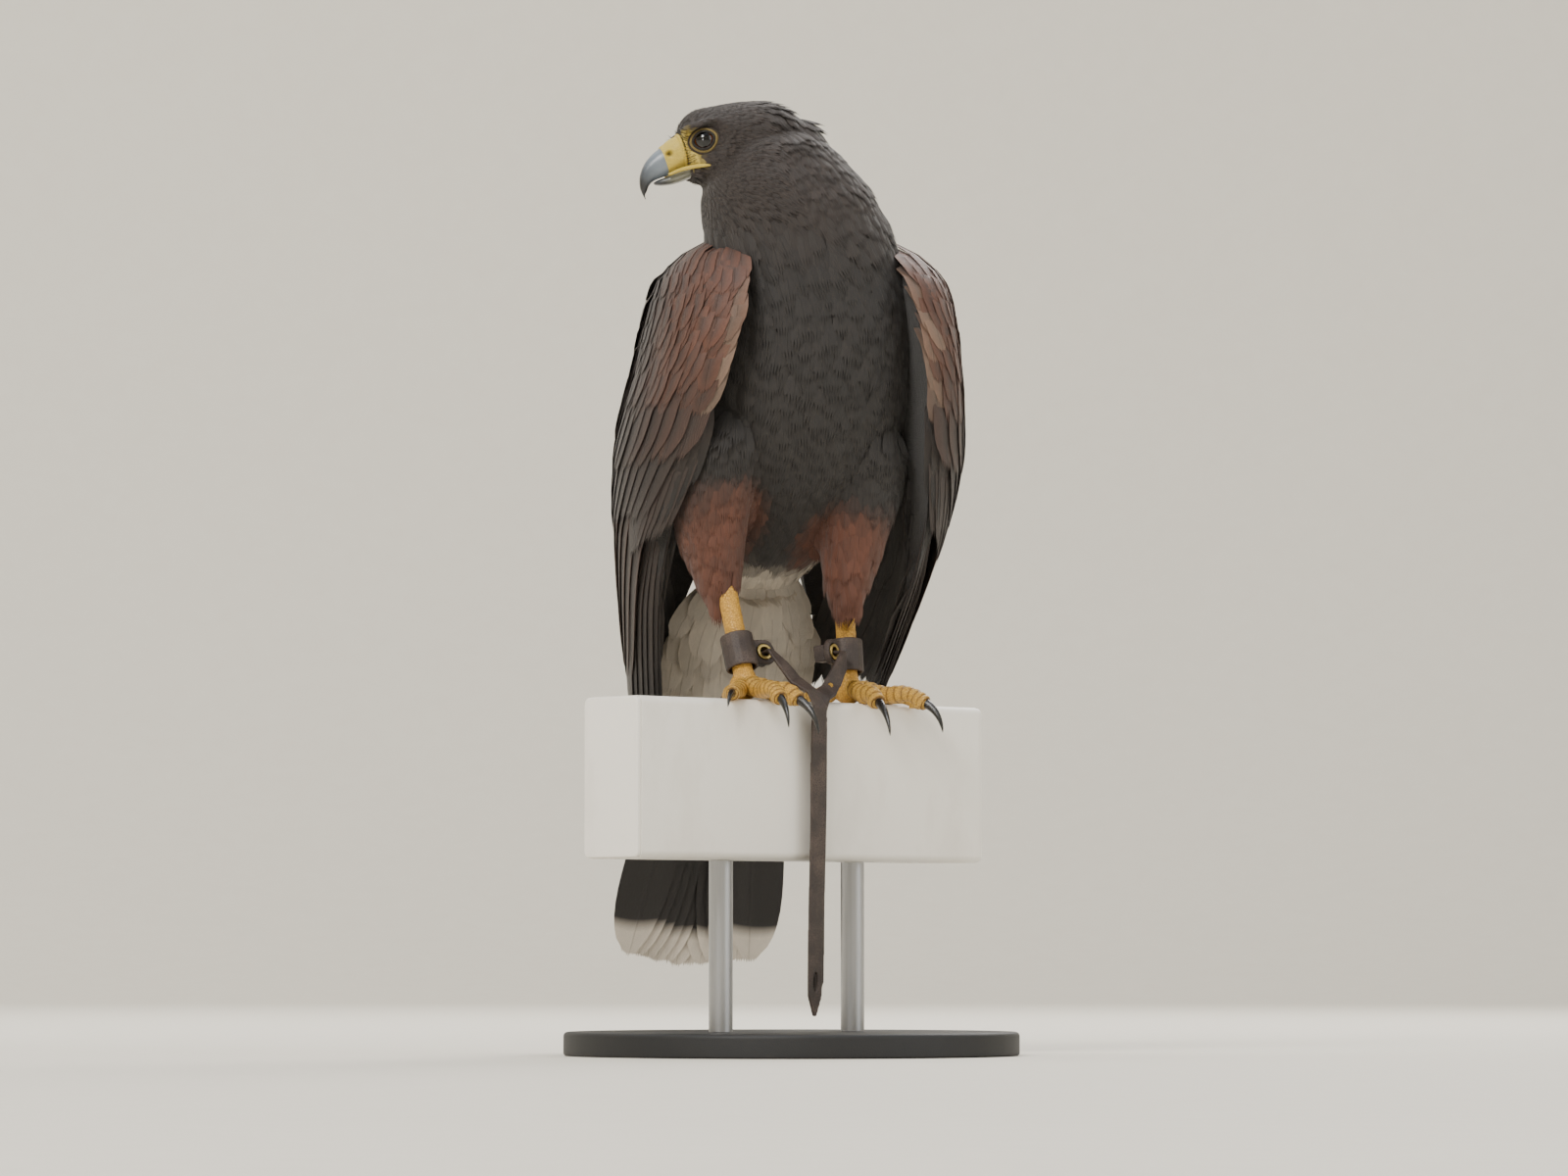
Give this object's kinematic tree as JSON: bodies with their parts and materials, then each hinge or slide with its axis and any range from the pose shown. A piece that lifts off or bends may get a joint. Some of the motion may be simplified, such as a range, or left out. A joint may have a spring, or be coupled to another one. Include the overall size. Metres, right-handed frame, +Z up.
{
  "type": "harris hawk",
  "caption": "Life-size museum-style model of a perched Harris's hawk with leather anklets and jesses, gripping a short white rail on a plain disc stand.",
  "frame": {"origin": "centre of the underside of the stand's base", "axes": "+Z up; the breast faces -Y; the bird's left is +X; the head is turned to the bird's right (-X)"},
  "size_m": [0.2349, 0.274, 0.4826],
  "materials": {
    "torso": "dark sooty brown plumage, soft and matt",
    "thighs": "chestnut plumage, soft and matt",
    "wings": "dark brown feather vanes with chestnut shoulders",
    "tail": "blackish feather vanes, white at the base and the tip",
    "cere": "smooth lemon-yellow bare skin",
    "bill": "horn, slate grey going black at the point",
    "eyes": "wet dark brown iris with a black pupil",
    "scaled_skin": "yellow scaled skin",
    "claws": "black horn",
    "leg_leather": "greased dark brown leather",
    "grommets": "worn brass eyelets",
    "rail_paint": "off-white satin paint, slightly weathered",
    "stand_black": "fine-textured black paint",
    "stand_steel": "brushed rod"
  },
  "bodies": {
    "root": {"torso": "torso", "neck": "torso", "head": "torso", "thigh_right": "thighs", "thigh_left": "thighs", "wing_right": "wings", "wing_left": "wings", "tail": "tail", "cere": "cere", "bill_upper": "bill", "bill_lower": "bill", "eye_right": "eyes", "eye_left": "eyes", "shank_right": "scaled_skin", "shank_left": "scaled_skin", "foot_right": "scaled_skin", "foot_left": "scaled_skin", "claw_right_inner": "claws", "claw_right_middle": "claws", "claw_right_outer": "claws", "claw_right_hind": "claws", "claw_left_inner": "claws", "claw_left_middle": "claws", "claw_left_outer": "claws", "claw_left_hind": "claws", "anklet_right": "leg_leather", "anklet_left": "leg_leather", "jess_right": "leg_leather", "jess_left": "leg_leather", "anklet_ring_right": "grommets", "anklet_ring_left": "grommets", "perch_rail": "rail_paint", "perch_cap_right": "rail_paint", "perch_cap_left": "rail_paint", "stand_base": "stand_black", "stand_rod_right": "stand_steel", "stand_rod_left": "stand_steel"}
  },
  "joints": []
}
